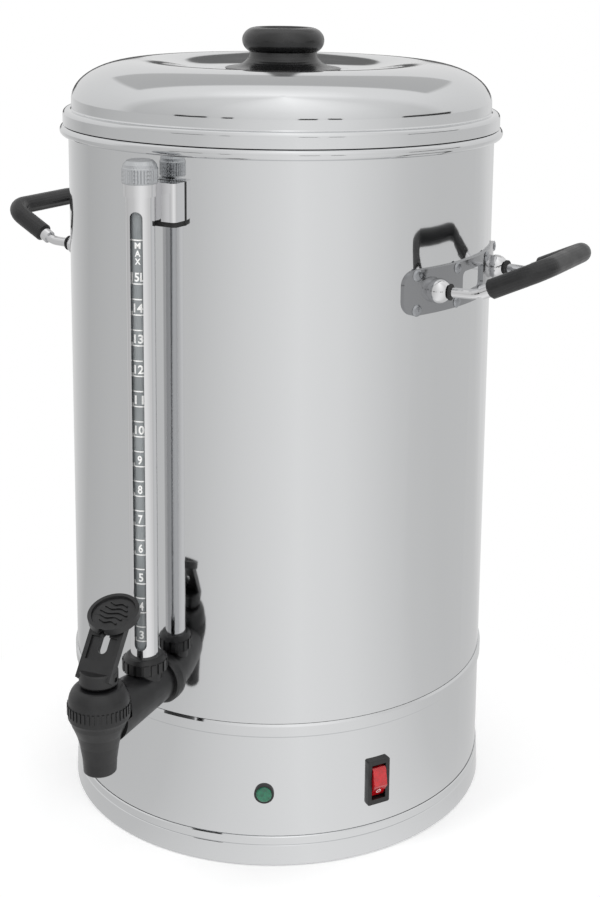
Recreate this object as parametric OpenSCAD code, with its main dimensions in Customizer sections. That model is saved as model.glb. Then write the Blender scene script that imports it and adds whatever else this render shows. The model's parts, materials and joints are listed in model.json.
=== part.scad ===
// Hot water urn with a level gauge, a lever tap, two rod handles and a lift-off lid.
// Frame: origin on the table at the centre of the base, +Z up, the tap towards -Y.
// Azimuths are measured about +Z from -Y, so +90 is the side at +X.

/* [Tank] */
// Outside radius of the tank and of the base housing
tank_r = 135; // [132:0.5:138]
// Thickness of the steel sheet
sheet = 1; // [0.6:0.1:1.2]
// Top of the rolled rim
rim_z = 436.4; // [420:0.2:450]
// Radius of the roll at the rim
roll_r = 3.2; // [2.5:0.1:4]
// Underside of the tank floor
floor_z = 93.5; // [93:0.1:95]
// Thickness of the tank floor
floor_t = 1.2; // [1:0.1:2]

/* [Base] */
// How far the bottom skirt stands out of the tank
skirt_out = 1.6; // [1:0.1:4]
// Gap between the skirt and the table
skirt_gap = 1; // [0.5:0.1:1.5]
// Height of the groove above the skirt
groove_z = 19; // [17:0.5:22]
// Height of the line between the groove and the flared skirt
flare_z = 13.5; // [12:0.5:14]
// Lower edge of the seam bead
bead_low = 83.4; // [80:0.2:86]
// Upper edge of the seam bead
bead_high = 92.1; // [91:0.1:92.3]
// How far the seam bead stands out
bead_out = 1.3; // [0.8:0.1:2]
// Height of the bottom cover plate
plate_z = 4; // [3:0.5:5]
// Thickness of the bottom cover plate
plate_t = 1.2; // [1:0.1:2]
// Distance of each foot's middle in from the tank's outside
foot_in = 23; // [19:1:35]
// Radius of a foot where it meets the plate
foot_r = 12; // [9:0.5:14]

/* [Lid] */
// Gap between the lid flange and the rim
lid_gap = 0.3; // [0.1:0.1:0.5]
// How far the lid flange stands out of the tank
lid_out = 3.4; // [2:0.2:5]
// Height of the lid flange
flange_h = 9.3; // [8:0.1:11]
// How far the dome stands in from the tank's outside
dome_in = 2; // [1:0.5:5]
// Height of the upright band between the flange and the dome
band_h = 6; // [4:0.5:10]
// Rise of the dome
dome_h = 24; // [18:0.5:30]
// Squareness of the dome's shoulder
dome_n = 2; // [1.6:0.1:3]
// Radius of the dome's crown, inside which the top is dished
crown_r = 90; // [80:1:100]
// Depth of the dish in the middle
dish_depth = 5.5; // [2:0.5:8]

/* [Knob] */
// Outside radius of the knob's ring
knob_r = 26; // [22:0.5:30]
// Radius of the knob's flared foot
knob_foot_r = 37; // [34:0.5:40]
// Radius of the knob's neck
knob_neck_r = 21.5; // [19:0.5:22]
// Height of the flared foot and neck
knob_neck_h = 10; // [8:0.5:12]
// Height of the knob's ring
knob_ring_h = 16.2; // [14:0.2:20]
// Radius of the dished top
knob_dish_r = 16.5; // [14:0.5:17]

/* [Handles] */
// Height of the handle bosses
handle_z = 350; // [340:1:360]
// Half the distance between the two bosses
boss_half = 43; // [40:0.5:45]
// Radius of a boss ball
boss_r = 7.5; // [6.5:0.1:8.5]
// Half the distance between the rod's outer corners
bar_half = 36; // [33:0.5:40]
// Reach of the level stretch of the rod
level_reach = 28; // [25:0.5:32]
// Reach of the rod out to the grip bar
bar_reach = 67; // [60:0.5:75]
// Rise of the rod from the bosses to the grip bar
bar_rise = 18.2; // [10:0.2:24]
// Radius of the rod
rod_r = 3; // [2.5:0.1:3.5]
// Radius of the grip
grip_r = 6; // [5:0.1:7]
// Length of the grip on each leg
grip_leg = 34.5; // [28:0.5:36]
// Bend radius between the level and the rising stretch
rod_bend = 18; // [15:0.5:20]
// Bend radius at the outer corners
grip_bend = 14; // [12:0.5:16]
// Half angle that a wall plate covers
plate_half_deg = 27.8; // [25:0.2:29]
// Height of a wall plate
wall_plate_h = 27; // [24:0.5:30]
// Thickness of a wall plate
wall_plate_t = 1.8; // [1.2:0.1:2.4]

/* [Gauge] */
// Distance of the gauge's axis from the tank's outside
gauge_out = 18; // [15:0.5:20]
// Radius of the guard tube
guard_r = 8.2; // [8:0.1:8.6]
// Wall of the guard tube
guard_t = 0.9; // [0.6:0.1:1]
// Radius of the glass tube
glass_r = 6.2; // [5.5:0.1:6.8]
// Wall of the glass tube
glass_t = 1.5; // [1:0.1:2]
// Lower end of the window in the guard
window_low = 141; // [140:0.5:150]
// Upper end of the window in the guard
window_high = 401; // [395:0.5:402]
// Width of the window in the guard
window_w = 7.4; // [6:0.1:8]
// Azimuth that the window faces, about the gauge's own axis
window_turn = 18; // [0:1:30]
// Upper face of the collar and of the wall bracket
collar_top = 416; // [414:0.5:418]
// Height of the collar
collar_h = 7; // [5:0.5:11]
// Height of the wall bracket
bracket_h = 22; // [18:0.5:26]
// Half width of the wall bracket
bracket_half = 17.6; // [16:0.2:20]
// Radius of the screw cap
cap_r = 10.2; // [9.8:0.1:11]
// Height of the screw cap
cap_h = 13.3; // [12:0.1:15]
// Radius of the ribbed nut
nut_r = 13.25; // [12.8:0.05:14]
// Lower face of the ribbed nut
nut_z = 126.3; // [126:0.1:128]
// Height of the ribbed nut
nut_h = 9.9; // [9:0.1:11]

/* [Tap] */
// Distance of the tap's axis from the tank's outside
tap_out = 61.6; // [55:0.2:65]
// Height of the tap's barrel
barrel_z = 113; // [110:0.5:116]
// Radius of the barrel at the wall
barrel_wall_r = 11.8; // [11:0.1:13]
// Radius of the barrel at the tap
barrel_tap_r = 15.6; // [14:0.1:16]
// Bottom of the spout
spout_z = 82.5; // [78:0.5:86]
// Radius of the spout's end
spout_r = 9.4; // [9:0.1:11]
// Radius of the spout's bore
spout_bore = 6.5; // [5:0.1:7]
// Widest radius of the bonnet
bonnet_r = 18.1; // [17.5:0.1:19]
// Lower edge of the bonnet
bonnet_z = 115; // [114:0.5:117]
// Top of the bonnet
bonnet_top = 135; // [133:0.5:137]
// Radius of the stem
stem_r = 3; // [2.5:0.1:3.5]
// Radial running clearance of stem and pin
running = 0.06; // [0.02:0.01:0.1]

/* [Lever] */
// Azimuth that the lever faces, about the tap's own axis
lever_turn = 8.2; // [0:0.1:15]
// Lean of the lever's arm back towards the tank
arm_lean = 38.7; // [30:0.1:45]
// Length of the arm from the cam to the pad's centre
arm_len = 32.4; // [28:0.1:36]
// Width of the arm
arm_w = 21.5; // [18:0.5:22]
// Radius of the cam under the arm
cam_r = 11.1; // [10:0.1:11.6]
// Height of the lever pin
pin_z = 140; // [139:0.1:141]
// Radius of the thumb pad
pad_r = 15; // [13:0.5:16]
// Tilt of the thumb pad's face towards the user
pad_tilt = 19.6; // [10:0.1:30]

/* [Switch and lamp] */
// Azimuth of the lamp
lamp_az = 27.6; // [20:0.1:35]
// Height of the lamp and of the switch
panel_z = 47.3; // [40:0.1:55]
// Radius of the lamp's lens
lamp_r = 6; // [5:0.1:8]
// Azimuth of the switch
switch_az = 57.7; // [50:0.1:65]
// Width of the switch frame
switch_w = 15; // [14:0.5:18]
// Height of the switch frame
switch_h = 29; // [26:0.5:32]
// How far the rocker leans in its off position
rocker_lean = 11; // [8:0.5:12]

/* [Inlet] */
// Width of the appliance inlet's flange
inlet_w = 50; // [48:1:54]
// Height of the appliance inlet's flange
inlet_h = 25; // [24:0.5:28]
// Height of the appliance inlet
inlet_z = 47; // [40:1:55]

/* [Hidden] */
$fn = 96;
eps = 0.01;
inner_r = tank_r - sheet;
skirt_r = tank_r + skirt_out;
foot_at = tank_r - foot_in;
flange_r = tank_r + lid_out;
dome_r = tank_r - dome_in;
gauge_rho = tank_r + gauge_out;
collar_z = collar_top - collar_h;
bracket_z = collar_top - bracket_h;
tap_rho = tank_r + tap_out;
sides = [90, -90];
STEEL = "#c9cacc";
CHROME = "#dcdde0";
BLACK = "#232425";
RUBBER = "#2b2b2b";
COPPER = "#b87745";

// ---------- helpers ----------

// Puts children at an azimuth on the tank wall: local -Y is outwards, local +X is along the wall.
module on_wall(az, z, rho = tank_r) rotate([0, 0, az]) translate([0, -rho, z]) children();

// Turns a shape that is drawn along +Z so that it points outwards, along local -Y.
module outward() rotate([90, 0, 0]) children();

module ring(r, hole, h) difference() {
    cylinder(r = r, h = h);
    translate([0, 0, -eps]) cylinder(r = hole, h = h + 2 * eps);
}

// Flat outline with rounded corners, centred on the origin.
module rounded(w, h, r) {
    square([w - 2 * r, h], center = true);
    square([w, h - 2 * r], center = true);
    for (x = [-1, 1], y = [-1, 1]) translate([x * (w / 2 - r), y * (h / 2 - r)]) circle(r);
}

function unit(v) = v / norm(v);
function arc(c, r, a0, a1, n = 8) = oval(c, r, r, a0, a1, n);
function oval(c, rx, ry, a0, a1, n = 16) =
    [for (i = [0:n]) c + [rx * cos(a0 + (a1 - a0) * i / n), ry * sin(a0 + (a1 - a0) * i / n)]];

// A straight round bar between two points, solid or with a bore.
module bar(a, b, r, bore = 0) {
    d = b - a;
    translate(a) rotate([0, acos(d.z / norm(d)), atan2(d.y, d.x)]) difference() {
        cylinder(r = r, h = norm(d));
        if (bore > 0) translate([0, 0, -1]) cylinder(r = bore, h = norm(d) + 2);
    }
}

// Length that a fillet of radius rc takes from each leg at corner b.
function fillet_len(a, b, c, rc) = rc * tan(acos(unit(b - a) * unit(c - b)) / 2);

// Points of the round bend at corner b of the path a, b, c.
function bend_points(a, b, c, rc, n) = let (
    d0 = unit(b - a), d1 = unit(c - b), turn = acos(d0 * d1),
    ex = -cross(unit(cross(d0, d1)), d0), start = b - fillet_len(a, b, c, rc) * d0, o = start - rc * ex
) [for (i = [0:n]) o + rc * (ex * cos(turn * i / n) + d0 * sin(turn * i / n))];

// A path with a round bend of radius bends[i] and steps[i] steps at each inner corner.
function bent_path(p, bends, steps) = concat(
    [p[0]],
    [for (i = [1:len(p) - 2]) each bend_points(p[i - 1], p[i], p[i + 1], bends[i - 1], steps[i - 1])],
    [p[len(p) - 1]]
);

// One ring of points round point i of a path.
function path_dir(p, i) = unit(
    (i == len(p) - 1 ? [0, 0, 0] : unit(p[i + 1] - p[i])) + (i == 0 ? [0, 0, 0] : unit(p[i] - p[i - 1]))
);
function side_dir(d) = unit(cross(d, abs(d.z) > 0.95 ? [1, 0, 0] : [0, 0, 1]));
function path_ring(p, i, r, n) = let (d = path_dir(p, i), u = side_dir(d), v = cross(d, u))
    [for (k = [0:n - 1]) p[i] + r * (cos(360 * k / n) * u + sin(360 * k / n) * v)];

// Triangles between ring i and the next, for rings of n points that start at point number first.
function wall_faces(first, rings, n) = [for (i = [0:rings - 2], k = [0:n - 1], half = [0, 1]) let (
    a = first + i * n + k, b = first + i * n + (k + 1) % n
) half == 0 ? [a, b, b + n] : [a, b + n, a + n]];
function flipped(faces) = [for (f = faces) [f[2], f[1], f[0]]];

// A bar with flat sides swept along closely spaced points.
module swept(p, r, n = 8) {
    points = [for (i = [0:len(p) - 1]) each path_ring(p, i, r, n)];
    last = (len(p) - 1) * n;
    polyhedron(points, concat(
        wall_faces(0, len(p), n), [[for (k = [n - 1:-1:0]) k], [for (k = [0:n - 1]) last + k]]
    ), 4);
}

// A sleeve round a path, with its ends rounded off by the chamfer.
module sleeve(p, r, bore, n, chamfer) {
    m = len(p);
    outer = [for (i = [0:m - 1]) each path_ring(p, i, (i == 0 || i == m - 1) ? r - chamfer : r, n)];
    inner = [for (i = [0:m - 1]) each path_ring(p, i, bore, n)];
    ends = [for (i = [0, m - 1], k = [0:n - 1], half = [0, 1]) let (
        a = i * n + k, b = i * n + (k + 1) % n, c = b + m * n, d = a + m * n,
        f = half == 0 ? [a, b, c] : [a, c, d]
    ) i == 0 ? [f[2], f[1], f[0]] : f];
    polyhedron(concat(outer, inner), concat(wall_faces(0, m, n), flipped(wall_faces(m * n, m, n)), ends), 4);
}
function curve_at(a, b, c, d, t) =
    0.5 * (2 * b + (c - a) * t + (2 * a - 5 * b + 4 * c - d) * t * t + (3 * b - 3 * c + d - a) * t * t * t);
function curve(p, steps) = [for (i = [0:len(p) - 2], s = [0:steps - 1])
    curve_at(p[max(i - 1, 0)], p[i], p[i + 1], p[min(i + 2, len(p) - 1)], s / steps)];

// ---------- tank ----------

joggle_gap = 0.3;
joggle_r = tank_r - sheet + joggle_gap - 0.1;
tap_hole_r = 8.6;
tap_shank_r = 8.5;
bracket_screw_at = 11;
bracket_screw_r = 2;
bracket_mid = (bracket_z + collar_top) / 2;
handle_screw_r = 2;
handle_screw_deg = [8.9, 23.7];
handle_screw_dz = 10.4;

// Places children at every handle screw, pointing outwards.
module at_handle_screws(rho) {
    for (side = sides, a = handle_screw_deg, s = [-1, 1], dz = [-1, 1])
        on_wall(side + s * a, handle_z + dz * handle_screw_dz, rho) outward() children();
}

module at_bracket_screws(rho) {
    for (s = [-1, 1]) translate([s * bracket_screw_at, -rho, bracket_mid]) outward() children();
}

module tank_shell() color(STEEL) difference() {
    rotate_extrude() {
        polygon([
            [joggle_r - sheet, bead_low + 0.6], [joggle_r, bead_low + 0.6], [joggle_r, bead_high + 0.2],
            [tank_r, bead_high + 0.2], [tank_r, rim_z - roll_r], [inner_r, rim_z - roll_r],
            [inner_r, floor_z - 0.3], [joggle_r - sheet, floor_z - 1]
        ]);
        translate([inner_r + roll_r, rim_z - roll_r]) difference() {
            circle(roll_r, $fn = 48);
            circle(roll_r - sheet, $fn = 48);
        }
    }
    translate([0, 0, barrel_z]) outward() cylinder(r = tap_hole_r, h = tank_r + 5);
    at_bracket_screws(inner_r - 6) cylinder(r = bracket_screw_r, h = 10, $fn = 24);
    at_handle_screws(inner_r - 2) cylinder(r = handle_screw_r, h = 5, $fn = 24);
}

module tank_floor() color(STEEL) translate([0, 0, floor_z]) cylinder(r = inner_r, h = floor_t);

// ---------- base ----------

sleeve_h = 9;
lamp_hole_r = 4.6;
switch_cut = [12.4, 25];
inlet_cut = [28, 20.6];
inlet_az = 180;

module base_housing() color(STEEL) difference() {
    rotate_extrude() polygon([
        [inner_r, groove_z + 0.4], [tank_r, groove_z + 0.4], [tank_r, bead_low],
        [tank_r + bead_out, bead_low + bead_out], [tank_r + bead_out, bead_high - bead_out],
        [tank_r + 0.2, bead_high], [joggle_r + 0.1, bead_high], [joggle_r + 0.1, bead_low], [inner_r, bead_low]
    ]);
    on_wall(lamp_az, panel_z, tank_r - 8) outward() cylinder(r = lamp_hole_r, h = 16);
    on_wall(switch_az, panel_z, tank_r - 8) outward() linear_extrude(16) square(switch_cut, center = true);
    on_wall(inlet_az, inlet_z, tank_r - 8) outward() linear_extrude(16) square(inlet_cut, center = true);
    at_inlet_screws(tank_r - 8) cylinder(r = inlet_screw_r + 0.2, h = 16, $fn = 24);
}

module base_skirt() color(STEEL) rotate_extrude() polygon([
    [skirt_r - sheet, skirt_gap], [skirt_r, skirt_gap], [skirt_r - 0.55, flare_z - 0.3], [skirt_r - 1, flare_z],
    [skirt_r - 0.7, flare_z + 0.5], [skirt_r - 0.7, groove_z - 0.5], [tank_r + 0.2, groove_z],
    [inner_r, groove_z], [inner_r, groove_z + sleeve_h], [inner_r - sheet, groove_z + sleeve_h],
    [inner_r - sheet, flare_z + 1.5], [skirt_r - 2, flare_z - 1.5]
]);

bracket_post_r = 5;
bracket_top = 22;
foot_screw_r = 1.8;
vent_count = 7;

module at_feet() for (a = [45:90:315]) rotate([0, 0, a]) translate([0, -foot_at, 0]) children();

module base_plate() color(STEEL) translate([0, 0, plate_z]) difference() {
    cylinder(r = inner_r, h = plate_t);
    at_feet() translate([0, 0, -eps]) cylinder(r = foot_screw_r, h = plate_t + 1, $fn = 24);
    for (i = [0:vent_count - 1]) translate([(i - (vent_count - 1) / 2) * 12, -20, -eps])
        linear_extrude(plate_t + 1) rounded(4, 40, 1.9);
}

// Four posts that hang from the housing's wall and take the feet screws.
module base_brackets() color(STEEL) at_feet() difference() {
    union() {
        translate([0, 0, plate_z + plate_t]) cylinder(r = bracket_post_r, h = bracket_top - plate_z - plate_t);
        intersection() {
            translate([-6, -(tank_r - foot_at), bracket_top - 2]) cube([12, tank_r - foot_at, 2]);
            translate([0, foot_at, 0]) cylinder(r = inner_r - sheet, h = bracket_top);
        }
    }
    translate([0, 0, plate_z]) cylinder(r = foot_screw_r, h = 13, $fn = 24);
}

foot_well = 2;
module rubber_feet() color(RUBBER) at_feet() rotate_extrude() polygon([
    [foot_screw_r, foot_well], [4.2, foot_well], [4.2, 0], [foot_r - 2.4, 0], [foot_r - 1.4, 0.6],
    [foot_r, plate_z], [foot_screw_r, plate_z]
]);

foot_screw_top = 16;
module feet_screws() color(CHROME) at_feet() {
    translate([0, 0, 0.8]) cylinder(r = 3.6, h = foot_well - 0.8);
    translate([0, 0, foot_well]) cylinder(r = foot_screw_r, h = foot_screw_top - foot_well, $fn = 24);
}

// ---------- heating ----------

spreader_r = tank_r - 60;
spreader_t = 5;
spreader_z = floor_z - spreader_t;
sheath_r = 4;
element_r = spreader_r - 20;
element_gap = 40;
pad_t = 6;
pad_z = spreader_z - 2 * sheath_r - pad_t;
stud_r = 3;
cold_end = 13;
stud_l = 8;
cold_tab_z = pad_z - cold_end - stud_l;
elbow_r = 4.8;
elbow_h = 9;

module heat_spreader() color("#b8babd") {
    translate([0, 0, spreader_z]) cylinder(r = spreader_r, h = spreader_t);
    translate([0, 0, pad_z - stud_l]) cylinder(r = stud_r, h = spreader_z - pad_z + stud_l + eps);
}

// Places children at the two cold ends of the ring.
module at_cold_ends() for (s = [-1, 1])
    rotate([0, 0, s * element_gap / 2]) translate([0, element_r, 0]) children();

module heating_element() color("#8d8a86") {
    translate([0, 0, spreader_z - sheath_r]) rotate([0, 0, 90 + element_gap / 2])
        rotate_extrude(angle = 360 - element_gap) translate([element_r, 0]) circle(sheath_r);
    at_cold_ends() {
        translate([0, 0, spreader_z - elbow_h]) cylinder(r = elbow_r, h = elbow_h);
        translate([0, 0, pad_z - cold_end])
            cylinder(r = sheath_r, h = spreader_z - pad_z + cold_end - elbow_h + eps);
        translate([-3, -0.4, cold_tab_z]) cube([6, 0.8, 8 + eps]);
    }
}

module insulation_pad() color("#d8d2c2") translate([0, 0, pad_z]) difference() {
    cylinder(r = spreader_r + 4, h = pad_t);
    translate([0, 0, -eps]) cylinder(r = stud_r, h = pad_t + 1);
    translate([0, 0, -eps]) at_cold_ends() cylinder(r = elbow_r + 0.2, h = pad_t + 1);
}

module clamp_nut() color(CHROME) translate([0, 0, pad_z - 6]) difference() {
    union() {
        cylinder(r = 5.8, h = 5, $fn = 6);
        translate([0, 0, 5]) cylinder(r = 12, h = 1);
    }
    translate([0, 0, -eps]) cylinder(r = stud_r, h = 8);
}

// A disc thermostat under the tank floor, with two blade terminals.
sensor_at = tank_r - 36;
module disc_sensor(az) rotate([0, 0, az]) translate([0, -sensor_at, 0]) {
    translate([0, 0, floor_z - 1.4]) cylinder(r = 11, h = 1.4);
    translate([0, 0, floor_z - 12]) cylinder(r = 8, h = 10.6 + eps);
    for (s = [-1, 1]) translate([s * 4 - 3.2, -0.4, floor_z - 20]) cube([6.4, 0.8, 8 + eps]);
}
module thermostat() color("#e8e4d8") disc_sensor(stat_az);
module thermal_cutout() color("#403c38") disc_sensor(cut_az);

// ---------- electrics ----------

block_at = [0, 62, plate_z + plate_t];
block_size = [34, 18, 17];
block_ways = 3;

module terminal_block() color("#e6e0cc") translate(block_at) difference() {
    translate([-block_size.x / 2, -block_size.y / 2, 0]) cube(block_size);
    for (i = [0:block_ways - 1]) translate([(i - 1) * way_gap, 0, block_size.z - 6])
        cylinder(r = 2.4, h = 8, $fn = 24);
}

lead_r = 1.3;
lead_steps = 5;
inlet_rear = tank_r - 26;
block_front = block_at.y - block_size.y / 2;
block_back = block_at.y + block_size.y / 2;
lead_z = plate_z + plate_t + 9;
way_gap = 10;
lead_gap = 0.35;
lead_drop = 7;
stat_az = 100;
cut_az = -110;
function at_az(az, rho, along, z) = [sin(az), -cos(az), 0] * rho + [cos(az), sin(az), 0] * along + [0, 0, z];
function tab(az, s) = at_az(az, sensor_at, s * 4, floor_z - 20 - lead_gap);
function cold_tab(s) = [
    s * element_r * sin(element_gap / 2), element_r * cos(element_gap / 2), cold_tab_z - lead_gap
];
function down(p) = p - [0, 0, lead_drop];
function block_way(i, back) = [i * way_gap, back ? block_back + lead_gap : block_front - lead_gap, lead_z];
function out_of(p, y) = p + [0, y, 0];
function switch_tab(i) = at_az(switch_az, tank_r - switch_deep - 8 - lead_gap, 0, panel_z + i * 6);

// A lead through the given points. It leaves both of its ends straight.
module lead(p) let (m = len(p) - 1) swept(curve(concat(
    [p[0], (p[0] + p[1]) / 2], [for (i = [1:m - 1]) p[i]], [(p[m - 1] + p[m]) / 2, p[m]]
), lead_steps), lead_r);

// Insulated leads. The middle way of the block joins the thermostat to the cut-out.
module internal_leads() color("#7a3b2a") {
    for (i = [-1, 1]) lead([
        [i * 7, inlet_rear - pin_tail - lead_gap, inlet_z - 1.5], [i * 7, inlet_rear - 12, inlet_z - 4],
        [i * 9, block_back + 13, lead_z + 12], out_of(block_way(i, true), lead_drop), block_way(i, true)
    ]);
    for (i = [-1, 1]) lead([
        block_way(i, false), out_of(block_way(i, false), -lead_drop), [50 + i * 5, 10 + i * 3, lead_z + 14],
        at_az(switch_az, tank_r - 45, -i * 3, panel_z - 9 + i * 6), switch_tab(i)
    ]);
    lead([tab(stat_az, -1), down(tab(stat_az, -1)), [52, 30, floor_z - 30], down(cold_tab(1)), cold_tab(1)]);
    lead([tab(cut_az, 1), down(tab(cut_az, 1)), [-60, 40, floor_z - 30], down(cold_tab(-1)), cold_tab(-1)]);
    lead([
        tab(stat_az, 1), down(tab(stat_az, 1)), [66, 52, lead_z + 26], [20, 90, lead_z + 4],
        out_of(block_way(0, true), 12), block_way(0, true)
    ]);
    lead([
        tab(cut_az, -1), down(tab(cut_az, -1)), [-60, 20, lead_z + 20],
        out_of(block_way(0, false), -18), block_way(0, false)
    ]);
}

// Keeps only what lies outside the wall, so that a flange sits on it.
module outside_wall() difference() {
    children();
    cylinder(r = tank_r, h = rim_z, $fn = 360);
}

inlet_face = tank_r + 5;
socket = [24, 16.4, 18];
socket_cut = 4;
inlet_screw_at = 20;
inlet_screw_r = 1.75;

// Places children at both screws of the inlet, pointing outwards.
module at_inlet_screws(rho) for (s = [-1, 1])
    on_wall(inlet_az, inlet_z, rho) translate([s * inlet_screw_at, 0, 0]) outward() children();

module inlet_housing() color(BLACK) difference() {
    union() {
        outside_wall() on_wall(inlet_az, inlet_z, tank_r - 6) outward()
            linear_extrude(inlet_face - tank_r + 6) rounded(inlet_w, inlet_h, 3);
        on_wall(inlet_az, inlet_z, inlet_rear) outward()
            linear_extrude(inlet_face - inlet_rear - 1) square(inlet_cut, center = true);
    }
    on_wall(inlet_az, inlet_z, inlet_face - socket.z) outward() linear_extrude(socket.z + 1)
        polygon(let (x = socket.x / 2, y = socket.y / 2, cut = socket_cut) [
            [-x, -y], [x, -y], [x, y - cut], [x - cut, y], [cut - x, y], [-x, y - cut]
        ]);
    at_inlet_screws(tank_r - 10) cylinder(r = inlet_screw_r, h = 20, $fn = 24);
    on_wall(inlet_az, inlet_z, inlet_face - socket.z) outward() at_pins() translate([0, 0, -30])
        linear_extrude(31) square(pin_size, center = true);
}

pin_size = [2, 5];
pin_len = 13;
pin_tail = 6;
module at_pins() {
    for (s = [-1, 1]) translate([s * 7, -1.5, 0]) children();
    translate([0, 2.5, 0]) children();
}
module inlet_pins() color(CHROME) on_wall(inlet_az, inlet_z, inlet_rear - pin_tail) outward() at_pins()
    linear_extrude(inlet_face - socket.z + pin_len - inlet_rear + pin_tail) square(pin_size, center = true);

module inlet_screws() color(CHROME) at_inlet_screws(inlet_face) difference() {
    union() {
        cylinder(r1 = 3.2, r2 = 2.6, h = 1.6);
        translate([0, 0, -7]) cylinder(r = inlet_screw_r, h = 7, $fn = 24);
    }
    translate([-0.4, -4, 0.9]) cube([0.8, 8, 1]);
}

// Rocker switch: the frame stands 2 mm proud and its well holds the rocker.
frame_face = tank_r + 2.2;
well = [9.6, 22.6];
switch_deep = 24;
rocker_pivot = tank_r - 3.5;
well_floor = tank_r - 11;
rocker_pin_r = 1.2;

module switch_housing() color(BLACK) difference() {
    union() {
        outside_wall() on_wall(switch_az, panel_z, tank_r - 4) outward()
            linear_extrude(frame_face - tank_r + 4) rounded(switch_w, switch_h, 1.2);
        on_wall(switch_az, panel_z, tank_r - switch_deep) outward()
            linear_extrude(switch_deep + 1) square(switch_cut, center = true);
    }
    on_wall(switch_az, panel_z, well_floor) outward() linear_extrude(20) square(well, center = true);
    on_wall(switch_az, panel_z, rocker_pivot) rotate([0, 90, 0])
        cylinder(r = rocker_pin_r, h = switch_cut.x, center = true, $fn = 32);
}

// The rocker's side outline, in depth and height about its pivot: two faces that meet in a ridge.
rocker_half = 10.2;
module switch_rocker() color("#c8202c") on_wall(switch_az, panel_z, rocker_pivot) rotate([rocker_lean, 0, 0]) {
    rotate([90, 0, 90]) linear_extrude(well.x - 0.7, center = true) polygon([
        [2.6, -rocker_half + 2], [-3.4, -rocker_half], [-4.8, -rocker_half + 0.8], [-8.3, -0.8], [-8.5, 0],
        [-8.3, 0.8], [-4.8, rocker_half - 0.8], [-3.4, rocker_half], [2.6, rocker_half - 2]
    ]);
    rotate([0, 90, 0]) cylinder(r = rocker_pin_r - running, h = switch_cut.x - 0.6, center = true, $fn = 32);
}

module switch_terminals() color(CHROME) for (i = [-1, 1])
    on_wall(switch_az, panel_z + i * 6, tank_r - switch_deep) translate([-3.15, 0, -0.4]) cube([6.3, 8, 0.8]);

module lamp_lens() color("#1d8a62") on_wall(lamp_az, panel_z, tank_r) outward() rotate_extrude() polygon(concat(
    [[0, 0.6], [lamp_r - 1.2, 0.6]], arc([lamp_r - 2.4, 1.2], 1.2, 0, 90, 6), [[0, 2.7]]
));

lamp_deep = 22;
module lamp_body() color(BLACK) difference() {
    union() {
        outside_wall() on_wall(lamp_az, panel_z, tank_r - 3) outward() cylinder(r = lamp_r, h = 4.4);
        on_wall(lamp_az, panel_z, tank_r - lamp_deep) outward() cylinder(r = lamp_hole_r, h = lamp_deep + 0.5);
    }
    on_wall(lamp_az, panel_z, tank_r + 0.6) outward() cylinder(r = lamp_r - 1.2, h = 10);
}

module lamp_nut() color("#dcd8cc") on_wall(lamp_az, panel_z, tank_r - 5.2) outward() difference() {
    cylinder(r = 7.5, h = 3.8, $fn = 6);
    translate([0, 0, -eps]) cylinder(r = lamp_hole_r, h = 8);
}

// ---------- lid ----------

// Outline of the dome from its foot inwards: a round shoulder, the crown, and a dish with a flat middle.
function dome(r0, z0, h, n = 24) = concat(
    [for (i = [0:n]) let (t = 45 * (1 - cos(180 * i / n)))
        [crown_r + (r0 - crown_r) * pow(cos(t), 2 / dome_n), z0 + h * pow(sin(t), 2 / dome_n)]],
    [for (i = [1:n]) [crown_r + (dish_r - crown_r) * i / n, z0 + h - dish_depth * (1 - cos(180 * i / n)) / 2]],
    [[0, z0 + h - dish_depth]]
);
function reversed(v) = [for (i = [len(v) - 1:-1:0]) v[i]];
flange_z = rim_z + lid_gap;
flange_top = flange_z + flange_h;
dome_z = flange_top + band_h;
dish_r = knob_foot_r + 5;
apex_z = dome_z + dome_h - dish_depth;
shoulder = 2.8;
knob_hole = 2.6;
lip_r = dome_r - 0.8;
lip_low = rim_z - 8.4;

module lid_dome() color(STEEL) difference() {
    rotate_extrude() {
        polygon(concat(
            [[flange_r - sheet, flange_z], [flange_r, flange_z]],
            arc([flange_r - shoulder, flange_top - shoulder], shoulder, 0, 90),
            [[dome_r + 0.6, flange_top], [dome_r, flange_top + 0.6]],
            dome(dome_r, dome_z, dome_h),
            reversed(dome(dome_r - sheet, dome_z, dome_h - sheet)),
            [[dome_r - sheet, flange_top - sheet]],
            arc([flange_r - shoulder, flange_top - shoulder], shoulder - sheet, 90, 0)
        ));
        translate([lip_r - sheet, lip_low]) square([sheet, dome_z - lip_low]);
    }
    translate([0, 0, apex_z - 5]) cylinder(r = knob_hole, h = 10, $fn = 32);
}

// Bulged ring on a narrow neck over a wide flared foot, with a dished top.
knob_z = apex_z + 0.2;
knob_ring_z = knob_z + knob_neck_h + knob_ring_h / 2;
ring_rx = knob_r - 17.4;
neck_ry = knob_neck_h - 1.2;
knob_screw_depth = 12;

module lid_knob() color(BLACK) difference() {
    rotate_extrude() polygon(concat(
        [[0, knob_z], [knob_foot_r - 0.6, knob_z]],
        [[knob_foot_r, knob_z + 0.5], [knob_foot_r - 0.8, knob_z + 1]],
        oval([knob_foot_r - 2, knob_z + knob_neck_h], knob_foot_r - 2 - knob_neck_r, neck_ry, -90, -170, 8),
        [[knob_neck_r, knob_z + knob_neck_h]],
        oval([knob_r - ring_rx, knob_ring_z], ring_rx, knob_ring_h / 2, -62, 96, 24),
        oval([knob_dish_r - 5, knob_ring_z + knob_ring_h / 2 - 0.4], 4.4, 2, -10, -90, 6),
        [[0, knob_ring_z + knob_ring_h / 2 - 2.6]]
    ));
    translate([0, 0, knob_z - eps]) cylinder(r = 2.5, h = knob_screw_depth, $fn = 32);
}

module knob_washer() color(CHROME) translate([0, 0, apex_z - sheet - 1.2]) ring(9, knob_hole, 1.2);

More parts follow.
